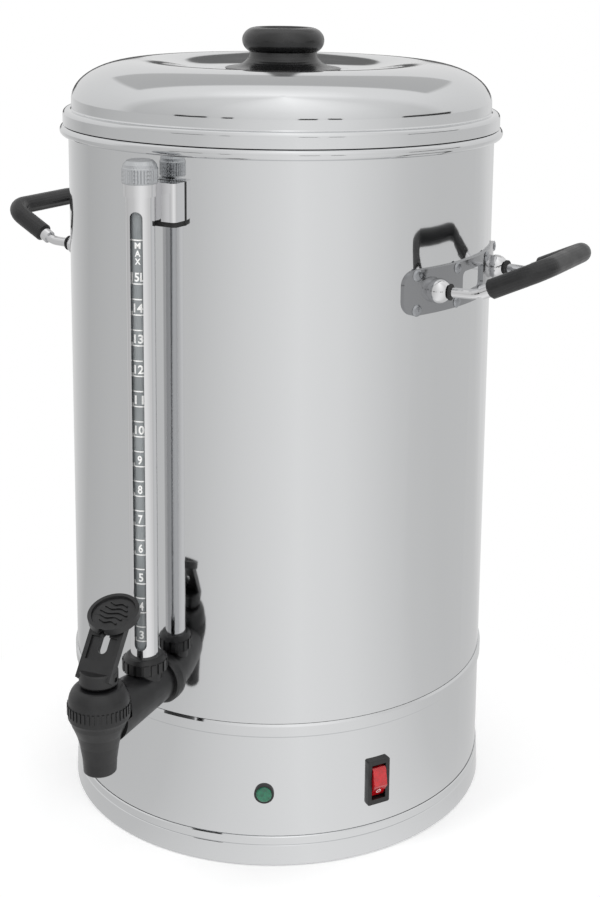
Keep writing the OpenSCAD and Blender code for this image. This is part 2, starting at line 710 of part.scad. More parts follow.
module knob_screw() color(CHROME) {
    translate([0, 0, apex_z - sheet - 1.2 - 3]) difference() {
        cylinder(r = 4.5, h = 3);
        translate([-0.6, -5, -eps]) cube([1.2, 10, 1.2]);
    }
    translate([0, 0, apex_z - sheet - 1.3]) cylinder(r = 2.5, h = knob_screw_depth - 1, $fn = 32);
}

// ---------- handles ----------

boss_rho = sqrt(tank_r * tank_r - boss_half * boss_half);
ball_rho = boss_rho + 5;
plate_chord = 2 * (tank_r + wall_plate_t) * sin(plate_half_deg);
plate_window = [30, 14];
grip_bore = rod_r + 0.02;
ferrule_r = 4.3;
ferrule_l = 5;
boss_ring_r = 4.9;
boss_ring_t = 1.2;
splay = (boss_half - bar_half) / bar_reach;

// Points of the rod at one handle, in the wall frame of its middle.
function leg_x(reach) = boss_half - splay * reach;
function half_path(s) = [
    [s * leg_x(3), -boss_rho - 3, handle_z],
    [s * leg_x(level_reach), -boss_rho - level_reach, handle_z],
    [s * bar_half, -boss_rho - bar_reach, handle_z + bar_rise]
];
rod_path = concat(half_path(-1), reversed(half_path(1)));
function grip_end(s) = let (p = half_path(s)) p[2] + grip_leg * unit(p[1] - p[2]);

// Carries an outline from the urn's axis through the plate.
module beyond_plate() translate([0, 0, handle_z]) outward()
    linear_extrude(tank_r + wall_plate_t + 5) children();

module handle_plate(side) color(CHROME) rotate([0, 0, side]) difference() {
    intersection() {
        translate([0, 0, handle_z - wall_plate_h / 2]) ring(tank_r + wall_plate_t, tank_r, wall_plate_h);
        beyond_plate() rounded(plate_chord, wall_plate_h, 9);
    }
    beyond_plate() rounded(plate_window.x, plate_window.y, 3.5);
    for (a = handle_screw_deg, s = [-1, 1], dz = [-1, 1])
        on_wall(s * a, handle_z + dz * handle_screw_dz, tank_r - 2) outward()
            cylinder(r = handle_screw_r, h = 8, $fn = 24);
}
module handle_plate_right() handle_plate(90);
module handle_plate_left() handle_plate(-90);

rod_sides = 20;
rod_steps = [4, 14, 14, 4];
module handle_rod(side) color(CHROME) rotate([0, 0, side])
    swept(bent_path(rod_path, [rod_bend, grip_bend, grip_bend, rod_bend], rod_steps), rod_r, rod_sides);
module handle_rod_right() handle_rod(90);
module handle_rod_left() handle_rod(-90);

grip_chamfer = 1.2;
grip_path = bent_path([grip_end(-1), rod_path[2], rod_path[3], grip_end(1)], [grip_bend, grip_bend], [14, 14]);
function chamfered(p, m) = concat(
    [p[0], p[0] + grip_chamfer * unit(p[1] - p[0])],
    [for (i = [1:m - 1]) p[i]],
    [p[m] + grip_chamfer * unit(p[m - 1] - p[m]), p[m]]
);
grip_rounded = chamfered(grip_path, len(grip_path) - 1);
module handle_grip(side) color(BLACK) rotate([0, 0, side])
    sleeve(grip_rounded, grip_r, grip_bore, rod_sides, grip_chamfer);
module handle_grip_right() handle_grip(90);
module handle_grip_left() handle_grip(-90);

module handle_bosses() color(CHROME) for (side = sides, s = [-1, 1]) rotate([0, 0, side]) difference() {
    translate([s * leg_x(5), -ball_rho, handle_z]) sphere(boss_r, $fn = 64);
    translate([0, 0, handle_z - 20]) cylinder(r = tank_r + wall_plate_t, h = 40);
    bar(half_path(s)[0], half_path(s)[1], rod_r);
}

module handle_rings() color(BLACK) for (side = sides, s = [-1, 1]) rotate([0, 0, side]) let (
    p = half_path(s), d = unit(p[1] - p[0]), a = p[0] + (boss_r + 1.4) * d
) bar(a, a + boss_ring_t * d, boss_ring_r, rod_r);

module handle_ferrules() color(CHROME) for (side = sides, s = [-1, 1]) rotate([0, 0, side]) let (
    e = grip_end(s), d = unit(half_path(s)[1] - half_path(s)[2])
) bar(e + 0.02 * d, e + ferrule_l * d, ferrule_r, rod_r);

module handle_screws() color(CHROME) {
    at_handle_screws(inner_r - 4) cylinder(r = handle_screw_r, h = sheet + wall_plate_t + 4.4, $fn = 24);
    at_handle_screws(tank_r + wall_plate_t) rotate_extrude()
        polygon([[0, 0.1], [3.6, 0.1], [2.6, 1.1], [0, 1.5]]);
}

module handle_nuts() color(CHROME) at_handle_screws(inner_r - 4) difference() {
    cylinder(r = 4, h = 3.2, $fn = 6);
    translate([0, 0, -eps]) cylinder(r = handle_screw_r, h = 5, $fn = 24);
}

// ---------- gauge ----------

guard_low = nut_z + 1.9;
guard_high = collar_top + 5;
glass_low = nut_z + 1.7;
glass_high = collar_top + 8.5;
seal_z = nut_z - 1.3;
pad_gap = 1.2;
pad_lip = 3;
cap_z = collar_top + 0.2;
nut_ribs = 18;
port_r = 10.2;
port_top = nut_z + nut_h - 3.2;
collar_r = 9.15;
block_rho = tank_r + 10;

module at_gauge(z = 0) translate([0, -gauge_rho, z]) children();

module gauge_glass() color("#dfe8ea") at_gauge(glass_low)
    ring(glass_r, glass_r - glass_t, glass_high - glass_low);

module gauge_guard() color(CHROME) difference() {
    at_gauge(guard_low) ring(guard_r, guard_r - guard_t, guard_high - guard_low);
    at_gauge() rotate([0, 0, window_turn]) {
        for (z = [window_low, window_high]) translate([0, 0, z + (z == window_low ? 1 : -1) * window_w / 2])
            outward() cylinder(r = window_w / 2, h = 20);
        translate([-window_w / 2, -20, window_low + window_w / 2])
            cube([window_w, 20, window_high - window_low - window_w]);
    }
}

module gauge_lower_seal() color(RUBBER) at_gauge(seal_z) ring(guard_r - guard_t - 0.1, 3.1, 3);

module gauge_nut() color(BLACK) at_gauge(nut_z) difference() {
    union() {
        rotate_extrude() polygon([
            [port_r, 0], [nut_r - 1.6, 0], [nut_r - 0.7, 0.9], [nut_r - 0.7, nut_h - 2.6],
            [nut_r - 2.2, nut_h - 0.6], [nut_r - 3.4, nut_h],
            [guard_r, nut_h], [guard_r, nut_h - 3], [port_r, nut_h - 3]
        ]);
        for (i = [0:nut_ribs - 1]) rotate([0, 0, 360 * i / nut_ribs])
            translate([-1.5, nut_r - 2, 0.9]) cube([3, 2, nut_h - 3.6]);
    }
    translate([0, 0, -eps]) cylinder(r = port_r, h = nut_h - 3);
}

// Wall bracket: a block with rounded front edges, and the collar that holds the guard tube.
module gauge_bracket() color(CHROME) difference() {
    union() {
        translate([0, 0, bracket_z]) linear_extrude(collar_top - bracket_z) difference() {
            translate([0, -block_rho + 6]) rounded(2 * bracket_half, 12, 2.6);
            circle(tank_r + pad_gap);
        }
        at_gauge(collar_z) cylinder(r = collar_r, h = collar_top - collar_z);
    }
    at_gauge(bracket_z - 1) cylinder(r = guard_r, h = 40);
    at_bracket_screws(tank_r - 2) cylinder(r = bracket_screw_r, h = 10, $fn = 24);
}

module gauge_pad() color(RUBBER) difference() {
    union() {
        translate([0, 0, bracket_z - pad_lip]) linear_extrude(collar_top - bracket_z + pad_lip) intersection() {
            difference() {
                circle(tank_r + pad_gap);
                circle(tank_r);
            }
            translate([-bracket_half, -block_rho]) square([2 * bracket_half, 20]);
        }
        translate([0, 0, bracket_z - pad_lip]) linear_extrude(pad_lip) difference() {
            translate([0, -block_rho + 7]) rounded(2 * bracket_half - 0.6, 12, 2.6);
            circle(tank_r);
        }
    }
    at_gauge(bracket_z - 5) cylinder(r = guard_r, h = 40);
    at_bracket_screws(tank_r - 2) cylinder(r = bracket_screw_r, h = 10, $fn = 24);
}

module bracket_screws() color(CHROME) {
    at_bracket_screws(inner_r - 2) cylinder(r = bracket_screw_r, h = 8, $fn = 24);
    at_bracket_screws(inner_r - 3.4) cylinder(r = 3.6, h = 2.4);
}

module gauge_upper_seal() color(RUBBER) at_gauge(guard_high) ring(guard_r - 0.1, glass_r, 1.6);

cap_grooves = 36;
module gauge_cap() color(CHROME) at_gauge(cap_z) difference() {
    rotate_extrude() polygon([
        [0, cap_h - 3.4], [glass_r + 0.7, cap_h - 3.4], [glass_r + 0.7, 6.9],
        [guard_r + 0.3, 6.9], [guard_r + 0.3, 0], [cap_r - 0.4, 0], [cap_r, 0.5],
        [cap_r, 8.6], [cap_r - 0.5, 9.2], [cap_r - 0.7, 10.6],
        [cap_r - 2.4, cap_h - 0.6], [cap_r - 4, cap_h], [0, cap_h]
    ]);
    for (i = [0:cap_grooves - 1]) rotate([0, 0, 360 * i / cap_grooves]) translate([0, cap_r + 0.1, 0.7])
        rotate([0, 0, 45]) translate([-0.3, -0.3, 0]) cube([0.6, 0.6, 7.6]);
}

// ---------- tap ----------

chamber_r = 9;
seat_z = barrel_z - 15;
body_top = barrel_z + 11;
body_top_r = 15;
shank_in = tank_r - 14;
bore_r = 5;
flange_face = tank_r + 4.2;
flange_disc_r = 14.6;
disc_t = flange_face - tank_r + 2;
gasket_t = 1.2;
inner_gasket_r = 14;
outer_gasket_r = 11.8;

module at_tap(z = 0) translate([0, -tap_rho, z]) children();

module tap_body() color(BLACK) difference() {
    union() {
        at_tap() rotate_extrude() polygon([
            [0, spout_z], [spout_r - 0.6, spout_z], [spout_r, spout_z + 0.6],
            [9.8, spout_z + 7.5], [11.2, barrel_z - 13.5], [13, barrel_z - 7], [15.6, barrel_z - 1],
            [16.4, bonnet_z - 0.3],
            [body_top_r, bonnet_z - 0.3], [body_top_r, body_top], [0, body_top]
        ]);
        difference() {
            translate([0, -flange_face, barrel_z]) outward()
                cylinder(r1 = barrel_wall_r, r2 = barrel_tap_r, h = tap_rho - flange_face - 6);
            at_tap(bonnet_z - 0.3) cylinder(r = bonnet_r + 0.4, h = 20);
            at_gauge(nut_z - 0.3) cylinder(r = nut_r + 0.3, h = 20);
        }
        translate([0, -shank_in, barrel_z]) outward() cylinder(r = tap_shank_r, h = flange_face - shank_in + 1);
        at_gauge(barrel_z) cylinder(r = port_r, h = port_top - barrel_z);
    }
    at_tap(spout_z - 1) cylinder(r = spout_bore, h = seat_z - spout_z + 2);
    at_tap(seat_z) cylinder(r1 = spout_bore, r2 = chamber_r, h = 2.5);
    at_tap(seat_z + 2.5 - eps) cylinder(r = chamber_r, h = body_top - seat_z);
    translate([0, -shank_in + 1, barrel_z]) outward() cylinder(r = bore_r, h = tap_rho - shank_in, $fn = 48);
    at_gauge(barrel_z) cylinder(r = 3, h = 20, $fn = 32);
    at_gauge(seal_z) cylinder(r = guard_r + 0.05, h = 20);
}

module tap_flange() color(BLACK) outside_wall() difference() {
    translate([0, -tank_r + 2, barrel_z]) outward() rotate_extrude() polygon([
        [0, 0], [flange_disc_r, 0], [flange_disc_r, disc_t - 1],
        [flange_disc_r - 1, disc_t], [0, disc_t]
    ]);
    translate([0, -tank_r + 3, barrel_z]) outward() cylinder(r = tap_shank_r, h = 20);
    gasket_space(outer_gasket_r + 0.1, tank_r + gasket_t + 0.05, tank_r - 2);
}

// A disc round the tap's shank between two radii of the wall.
module gasket_space(r, outside, inside) intersection() {
    translate([0, -inside + 2, barrel_z]) outward() cylinder(r = r, h = outside - inside + 4);
    translate([0, 0, barrel_z - 20]) ring(outside, inside, 40, $fn = 360);
}

// One gasket on each side of the wall.
module tap_gaskets() color(RUBBER) difference() {
    union() {
        gasket_space(inner_gasket_r, inner_r, inner_r - gasket_t);
        gasket_space(outer_gasket_r, tank_r + gasket_t, tank_r);
    }
    translate([0, 0, barrel_z]) outward() cylinder(r = tap_shank_r, h = 160);
}

module tap_back_nut() color(BLACK) difference() {
    translate([0, -shank_in - 2, barrel_z]) outward() cylinder(r = 15, h = 10, $fn = 6);
    translate([0, -shank_in, barrel_z]) outward() cylinder(r = tap_shank_r, h = 20);
    translate([0, 0, barrel_z - 20]) ring(inner_r + 20, inner_r - gasket_t, 40);
}

bonnet_ribs = 40;
rib_low = bonnet_z + 4.2;
rib_high = bonnet_z + 12;
module tap_bonnet() color(BLACK) at_tap() difference() {
    union() {
        rotate_extrude() polygon(concat(
            [[body_top_r, bonnet_z], [bonnet_r - 1.2, bonnet_z]],
            [[bonnet_r - 0.5, bonnet_z + 1.6], [bonnet_r - 0.5, rib_high - 3]],
            oval([bonnet_r - 6.6, rib_high - 3], 6.1, bonnet_top - rib_high + 3, 0, 90, 10),
            [[stem_r, bonnet_top], [stem_r, bonnet_top - 3]],
            [[chamber_r, bonnet_top - 3], [body_top_r, body_top]]
        ));
        for (i = [0:bonnet_ribs - 1]) rotate([0, 0, 360 * i / bonnet_ribs])
            translate([-0.7, bonnet_r - 1.6, rib_low]) cube([1.4, 1.6, rib_high - rib_low - 2]);
    }
    translate([0, 0, bonnet_z - 1]) cylinder(r = stem_r + running, h = 30);
    translate([0, 0, bonnet_z - 1]) cylinder(r = body_top_r, h = body_top - bonnet_z + 1);
}

// Silicone cup that closes the seat. The stem's foot turns in it.
cup_gap = 0.25;
cup_top = seat_z + 9;
stem_foot = seat_z + 3.5;
module tap_seat_cup() color("#c9c4b8") at_tap() difference() {
    rotate_extrude() polygon([
        [0, seat_z + 0.9], [spout_bore + 0.2, seat_z + 0.9], [chamber_r - 0.9, seat_z + 2.5 + cup_gap],
        [chamber_r - 0.9, seat_z + 4], [5.6, cup_top], [0, cup_top]
    ]);
    translate([0, 0, stem_foot]) cylinder(r = stem_r + running, h = 10);
}

stem_top = pin_z + 2.5;
module tap_stem() color(CHROME) at_tap() rotate([0, 0, lever_turn]) difference() {
    union() {
        translate([0, 0, stem_foot + 0.1]) cylinder(r = stem_r, h = stem_top - stem_foot - 0.1);
        translate([0, 0, cup_top + 0.4]) cylinder(r = 7, h = 1.2);
    }
    translate([0, 0, pin_z]) rotate([0, 90, 0]) cylinder(r = pin_r, h = 20, center = true, $fn = 32);
}

pin_r = 1.5;
module lever_pin() color(CHROME) at_tap(pin_z) rotate([0, 0, lever_turn]) rotate([0, 90, 0])
    cylinder(r = pin_r, h = 2 * cam_r - 3, center = true, $fn = 32);

spring_low = cup_top + 1.8;
spring_high = bonnet_top - 3.3;
spring_turns = 6;
spring_steps = 14;
spring_wire = 0.55;
spring_r = 5.4;
module tap_spring() color(CHROME) at_tap() swept([for (i = [0:spring_turns * spring_steps]) let (
    a = 360 * i / spring_steps,
    share = i / (spring_turns * spring_steps),
    z = spring_low + spring_wire + (spring_high - spring_low - 2 * spring_wire) * share
) [spring_r * cos(a), spring_r * sin(a), z]], spring_wire, 6);

// Lever: a round cam on the bonnet, an arm that leans back with a slot, and a ribbed thumb pad.
cam_low = bonnet_top + 0.3;
cam_high = cam_low + 9.3;
cam_round = 2.5;
arm_t = 5.2;
arm_rail = 2.6;
arm_recess = 1.4;
slot = [5.8, 12];
slot_at = 12;
pad_t1 = 4.2;
pad_dish = 1.3;
ridges = 5;

module arm_frame() translate([0, -2, cam_high]) rotate([-arm_lean, 0, 0]) children();
module pad_frame() arm_frame() translate([0, 0, arm_len]) rotate([arm_lean + pad_tilt, 0, 0]) children();

// One wavy ridge across the pad.
module ridge(w) linear_extrude(0.7) polygon(concat(
    [for (i = [0:12]) let (t = i / 12 - 0.5) [t * w, 0.7 * sin(t * 540) - 0.5]],
    [for (i = [12:-1:0]) let (t = i / 12 - 0.5) [t * w, 0.7 * sin(t * 540) + 0.5]]
));

module tap_lever() color(BLACK) at_tap() rotate([0, 0, lever_turn]) difference() {
    union() {
        rotate_extrude() polygon(concat(
            [[0, cam_low]], arc([cam_r - cam_round, cam_low + cam_round], cam_round, -90, 0, 6),
            [[cam_r, cam_high - 0.8], [cam_r - 0.8, cam_high], [0, cam_high]]
        ));
        difference() {
            arm_frame() translate([-arm_w / 2, -arm_t / 2, -6]) cube([arm_w, arm_t, arm_len + 4]);
            translate([0, 0, cam_low - 10]) cylinder(r = 60, h = 10 + 3);
            arm_frame() translate([-arm_w / 2 + arm_rail, -arm_t / 2 - 1, 5])
                cube([arm_w - 2 * arm_rail, arm_recess + 1, arm_len - 19]);
        }
        pad_frame() {
            translate([0, 0, -pad_t1 / 2]) difference() {
                cylinder(r = pad_r, h = pad_t1);
                translate([0, 0, pad_t1 - pad_dish])
                    cylinder(r1 = pad_r - 2.6, r2 = pad_r - 1.8, h = pad_dish + 1);
            }
            for (i = [0:ridges - 1]) let (y = (i - (ridges - 1) / 2) * 3.6)
                translate([0, y, pad_t1 / 2 - pad_dish - eps]) ridge(18 - abs(y) * 0.9);
        }
    }
    arm_frame() for (z = [slot_at, slot_at + slot.y - slot.x]) translate([0, 0, z]) outward()
        cylinder(r = slot.x / 2, h = 20, center = true, $fn = 32);
    arm_frame() translate([-slot.x / 2, -10, slot_at]) cube([slot.x, 20, slot.y - slot.x]);
    translate([-stem_r - 0.2, -6.6, cam_low - 1]) cube([2 * stem_r + 0.4, 13.2, cam_high - 0.4 - cam_low + 1]);
    translate([0, 0, pin_z]) rotate([0, 90, 0]) cylinder(r = pin_r + running, h = 40, center = true, $fn = 32);
}

tank_shell();
tank_floor();
base_housing();
base_skirt();
base_plate();
base_brackets();
rubber_feet();
feet_screws();
heat_spreader();
heating_element();
insulation_pad();
clamp_nut();
thermostat();
thermal_cutout();
terminal_block();
internal_leads();
inlet_housing();
inlet_pins();
inlet_screws();
switch_housing();
switch_rocker();
switch_terminals();
lamp_lens();
lamp_body();
lamp_nut();
lid_dome();
lid_knob();
knob_screw();
knob_washer();
handle_plate_right();
handle_plate_left();
handle_rod_right();
handle_rod_left();
handle_grip_right();
handle_grip_left();
handle_bosses();
handle_rings();
handle_ferrules();
handle_screws();
handle_nuts();
tap_body();
tap_flange();
tap_gaskets();
tap_back_nut();
tap_bonnet();
tap_seat_cup();
tap_stem();
tap_spring();
lever_pin();
tap_lever();
gauge_nut();
gauge_lower_seal();
gauge_glass();
gauge_guard();
gauge_bracket();
gauge_pad();
bracket_screws();
gauge_upper_seal();
gauge_cap();
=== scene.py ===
"""Looks of the hot water urn: polished steel body, black tap, litre scale, red switch and green lamp."""
import json
import math

import bmesh
import bpy
from mathutils import Euler, Matrix, Vector


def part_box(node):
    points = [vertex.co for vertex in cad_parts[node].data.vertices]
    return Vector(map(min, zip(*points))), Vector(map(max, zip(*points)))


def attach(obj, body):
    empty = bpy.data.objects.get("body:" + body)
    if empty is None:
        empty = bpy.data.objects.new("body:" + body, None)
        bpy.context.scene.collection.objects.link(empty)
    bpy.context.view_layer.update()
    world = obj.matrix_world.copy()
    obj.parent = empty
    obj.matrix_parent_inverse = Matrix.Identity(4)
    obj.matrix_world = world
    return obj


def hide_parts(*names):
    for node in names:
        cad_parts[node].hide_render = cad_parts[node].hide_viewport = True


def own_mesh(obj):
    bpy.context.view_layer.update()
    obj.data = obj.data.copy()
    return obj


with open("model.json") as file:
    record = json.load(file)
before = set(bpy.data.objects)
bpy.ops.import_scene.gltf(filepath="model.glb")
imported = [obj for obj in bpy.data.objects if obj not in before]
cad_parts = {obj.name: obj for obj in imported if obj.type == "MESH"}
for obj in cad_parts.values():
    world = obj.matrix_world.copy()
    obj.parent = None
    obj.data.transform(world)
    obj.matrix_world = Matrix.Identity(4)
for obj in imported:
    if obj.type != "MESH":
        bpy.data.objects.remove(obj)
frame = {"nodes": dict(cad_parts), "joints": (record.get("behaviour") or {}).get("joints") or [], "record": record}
nodes = frame["nodes"]
joints = {joint["name"]: joint for joint in frame["joints"]}
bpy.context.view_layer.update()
MM = 0.001


# ---------- small helpers ----------

def linear(hex_colour):
    """An sRGB hex colour as a linear RGBA value."""
    parts = [int(hex_colour[i:i + 2], 16) / 255 for i in (1, 3, 5)]
    return [p / 12.92 if p <= 0.04045 else ((p + 0.055) / 1.055) ** 2.4 for p in parts] + [1.0]


def add(tree, kind, links=None, **settings):
    """Adds a node, with its settings, its input values and its links."""
    made = tree.nodes.new("ShaderNode" + kind)
    for name, value in settings.items():
        setattr(made, name, value)
    for socket, value in (links or {}).items():
        if isinstance(value, bpy.types.NodeSocket):
            tree.links.new(value, made.inputs[socket])
        else:
            made.inputs[socket].default_value = value
    return made


def ramp_stops(ramp_node, stops):
    """Sets the stops of a colour ramp to grey levels or hex colours."""
    elements = ramp_node.color_ramp.elements
    while len(elements) > len(stops):
        elements.remove(elements[-1])
    while len(elements) < len(stops):
        elements.new(1.0)
    for element, (place, colour) in zip(elements, stops):
        element.position = place
        element.color = linear(colour) if isinstance(colour, str) else [colour] * 3 + [1.0]


def surface(name, colour, roughness, metallic=0.0, **more):
    """A new material with its shader. Returns the material, its nodes, the shader and the object place."""
    made = bpy.data.materials.new(name)
    made.use_nodes = True
    tree = made.node_tree
    tree.nodes.clear()
    values = {"Base Color": linear(colour), "Roughness": roughness, "Metallic": metallic, **more}
    shader = add(tree, "BsdfPrincipled", values)
    add(tree, "OutputMaterial", {"Surface": shader.outputs[0]})
    place = add(tree, "TexCoord").outputs["Object"]
    return made, tree, shader, place


def seen_into(shader, weight, depth_mm):
    """Lets some light into the surface, so many mm deep for red, green and blue."""
    shader.inputs["Subsurface Weight"].default_value = weight
    shader.inputs["Subsurface Radius"].default_value = [depth * MM for depth in depth_mm]


def grain(tree, shader, place, size_mm, depth_mm, detail=2.0, stretch=(1, 1, 1)):
    """Fine relief of the surface: a noise whose bumps are size_mm wide and depth_mm deep."""
    turned = add(tree, "Mapping", {"Vector": place, "Scale": stretch}).outputs[0]
    noise = add(tree, "TexNoise", {"Vector": turned, "Scale": 1 / (size_mm * MM), "Detail": detail})
    relief = add(tree, "Bump", {"Height": noise.outputs["Fac"], "Strength": 1.0, "Distance": depth_mm * MM})
    tree.links.new(relief.outputs[0], shader.inputs["Normal"])
    return noise.outputs["Fac"]


def varied(tree, shader, place, size_mm, low, high):
    """Lets the roughness drift between two limits over patches size_mm wide."""
    patches = add(tree, "TexNoise", {"Vector": place, "Scale": 1 / (size_mm * MM), "Detail": 3.0})
    spread = add(tree, "MapRange", {"Value": patches.outputs["Fac"], "From Min": 0.3, "From Max": 0.7,
                                    "To Min": low, "To Max": high})
    tree.links.new(spread.outputs[0], shader.inputs["Roughness"])


def tinted(tree, shader, place, size_mm, dark, light):
    """Lets the colour drift between two hex colours over patches size_mm wide."""
    patches = add(tree, "TexNoise", {"Vector": place, "Scale": 1 / (size_mm * MM), "Detail": 4.0})
    tones = add(tree, "ValToRGB", {"Fac": patches.outputs["Fac"]})
    ramp_stops(tones, [(0.35, dark), (0.65, light)])
    tree.links.new(tones.outputs[0], shader.inputs["Base Color"])


def axis_of(node):
    """The point on the ground under the middle of a CAD node."""
    low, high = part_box(node)
    return Vector(((low.x + high.x) / 2, (low.y + high.y) / 2, 0))


# ---------- finishes ----------

def mirror_roughness(tree, shader, place):
    """Gives a polished sheet its faint, wide ripple. Returns a roughness that follows the ripple."""
    ripple = grain(tree, shader, place, 70, 0.012, detail=1.0)
    return add(tree, "MapRange", {"Value": ripple, "To Min": 0.045, "To Max": 0.085}).outputs[0]


def polished_sheet():
    """Stainless steel sheet, mirror polished: sharp, faintly rippled reflections."""
    made, tree, shader, place = surface("polished_stainless_sheet", "#d9dadb", 0.05, 1.0)
    tree.links.new(mirror_roughness(tree, shader, place), shader.inputs["Roughness"])
    return made


# The finish changes between these radii, within the thickness of the tank's wall.
WALL_INSIDE, WALL_OUTSIDE = 134.4 * MM, 134.8 * MM
SATIN_ROUGHNESS = 0.42
# Under 1, so that light which bounces often inside the tank doesn't fade to black.
SATIN_METALLIC = 0.5


def tank_sheet():
    """Stainless steel sheet of the tank: mirror polished outside, left satin inside."""
    made, tree, shader, place = surface("tank_stainless_sheet", "#d9dadb", 0.05, 1.0)
    polished = mirror_roughness(tree, shader, place)
    apart = add(tree, "SeparateXYZ", {"Vector": place})
    flat = add(tree, "CombineXYZ", {0: apart.outputs["X"], 1: apart.outputs["Y"]}).outputs[0]
    radius = add(tree, "VectorMath", {0: flat}, operation="LENGTH").outputs["Value"]
    limits = {"Value": radius, "From Min": WALL_INSIDE, "From Max": WALL_OUTSIDE}
    satin = add(tree, "MapRange", {**limits, "To Min": SATIN_ROUGHNESS, "To Max": 0.0}).outputs[0]
    roughness = add(tree, "Math", {0: polished, 1: satin}, operation="MAXIMUM").outputs[0]
    tree.links.new(roughness, shader.inputs["Roughness"])
    metal = add(tree, "MapRange", {**limits, "To Min": SATIN_METALLIC, "To Max": 1.0}).outputs[0]
    tree.links.new(metal, shader.inputs["Metallic"])
    return made


def mill_sheet():
    """Cold-rolled stainless sheet as it leaves the mill: dull, with rolling lines along X."""
    made, tree, shader, place = surface("mill_finish_sheet", "#b4b5b8", 0.4, 1.0)
    grain(tree, shader, place, 1.2, 0.006, stretch=(0.04, 1, 1))
    varied(tree, shader, place, 25, 0.33, 0.48)
    return made


def chrome_plate():
    """Chrome plate over polished metal: brighter and sharper than the sheet."""
    made, tree, shader, place = surface("chrome_plate", "#dfdfe0", 0.03, 1.0)
    varied(tree, shader, place, 8, 0.02, 0.045)
    return made


# Slanting grooves round the gauge's cap in each direction, and the height from one groove to the next.
KNURL_GROOVES = 40
KNURL_PITCH = 2.2 * MM
KNURL_DEPTH = 0.1 * MM


def knurled_chrome():
    """Chrome of the gauge's cap, duller than the rest: two sets of slanting grooves cross round it."""
    made, tree, shader, place = surface("knurled_chrome", "#c2c4c6", 0.12, 1.0)
    centred = add(tree, "VectorMath", {0: place, 1: axis_of("gauge_cap")}, operation="SUBTRACT").outputs[0]
    apart = add(tree, "SeparateXYZ", {"Vector": centred})
    turn = add(tree, "Math", {0: apart.outputs["X"], 1: apart.outputs["Y"]}, operation="ARCTAN2").outputs[0]
    around = add(tree, "Math", {0: turn, 1: KNURL_GROOVES / 2}, operation="MULTIPLY").outputs[0]
    up = add(tree, "Math", {0: apart.outputs["Z"], 1: math.pi / KNURL_PITCH}, operation="MULTIPLY").outputs[0]
    ridges = []
    for slant in ("ADD", "SUBTRACT"):
        phase = add(tree, "Math", {0: around, 1: up}, operation=slant).outputs[0]
        wave = add(tree, "Math", {0: phase}, operation="SINE").outputs[0]
        ridges.append(add(tree, "Math", {0: wave}, operation="ABSOLUTE").outputs[0])
    height = add(tree, "Math", {0: ridges[0], 1: ridges[1]}, operation="MINIMUM").outputs[0]
    relief = add(tree, "Bump", {"Height": height, "Strength": 1.0, "Distance": KNURL_DEPTH})
    tree.links.new(relief.outputs[0], shader.inputs["Normal"])
    varied(tree, shader, place, 3, 0.09, 0.16)
    return made


def stamped_plate():
    """Thick stamped steel of the handle plates, barrel polished: darker and softer than the sheet."""
    made, tree, shader, place = surface("stamped_steel_plate", "#98999b", 0.12, 1.0)
    grain(tree, shader, place, 3, 0.004)
    varied(tree, shader, place, 10, 0.08, 0.18)
    return made


def zinc_steel():
    """Turned and zinc-plated steel of screws, nuts and pins: satin, with a slight blue cast."""
    made, tree, shader, place = surface("zinc_plated_steel", "#a3a5a8", 0.28, 1.0)
    grain(tree, shader, place, 0.4, 0.01)
    varied(tree, shader, place, 3, 0.22, 0.36)
    return made


def moulded_nylon():
    """Black glass-filled nylon, moulded in a finely eroded tool: satin with a fine grain."""
    made, tree, shader, place = surface("black_moulded_nylon", "#161617", 0.36, IOR=1.53)
    grain(tree, shader, place, 0.35, 0.012)
    tinted(tree, shader, place, 6, "#131314", "#1a1a1b")
    varied(tree, shader, place, 9, 0.3, 0.44)
    return made


def bakelite():
    """Black phenolic resin, pressed and buffed: deep black with a soft gloss."""
    made, tree, shader, place = surface("black_phenolic", "#141414", 0.22, IOR=1.6)
    grain(tree, shader, place, 0.8, 0.006)
    tinted(tree, shader, place, 12, "#111111", "#181819")
    varied(tree, shader, place, 14, 0.2, 0.3)
    return made


def black_rubber():
    """Moulded nitrile rubber: matt, dark grey, lightly pitted."""
    made, tree, shader, place = surface("nitrile_rubber", "#232323", 0.72, IOR=1.52)
    grain(tree, shader, place, 0.5, 0.02)
    tinted(tree, shader, place, 5, "#1e1e1e", "#2a2a2a")
    return made


def seat_silicone():
    """Food-grade silicone: milky and soft looking."""
    made, tree, shader, place = surface("milky_silicone", "#d6d1c4", 0.5, IOR=1.41)
    seen_into(shader, 0.2, (2, 1.6, 1.2))
    grain(tree, shader, place, 0.6, 0.01)
    varied(tree, shader, place, 4, 0.42, 0.58)
    return made


def gauge_tube():
    """Polycarbonate tube, hazed by scale: half see-through grey, with a gloss."""
    made, tree, shader, place = surface("hazed_clear_tube", "#a6abad", 0.06, IOR=1.49)
    shader.inputs["Transmission Weight"].default_value = 0.35
    tinted(tree, shader, place, 40, "#9ca1a3", "#b0b5b7")
    varied(tree, shader, place, 12, 0.04, 0.1)
    return made


def screen_ink():
    """White screen-printing ink: flat white, a little uneven."""
    made, tree, shader, place = surface("white_screen_ink", "#f7f7f5", 0.45, IOR=1.5)
    tinted(tree, shader, place, 2, "#f0f0ee", "#fcfcfb")
    return made


def cast_aluminium():
    """Machined aluminium casting: light grey with turning marks."""
    made, tree, shader, place = surface("machined_aluminium", "#b9bbbf", 0.38, 1.0)
    grain(tree, shader, place, 0.8, 0.02)
    varied(tree, shader, place, 20, 0.32, 0.46)
    return made


def heater_sheath():
    """Nickel alloy sheath after its first heats: brown-grey, uneven."""
    made, tree, shader, place = surface("nickel_alloy_sheath", "#8a837b", 0.42, 1.0)
    tinted(tree, shader, place, 14, "#766d64", "#999189")
    grain(tree, shader, place, 0.5, 0.015)
    return made


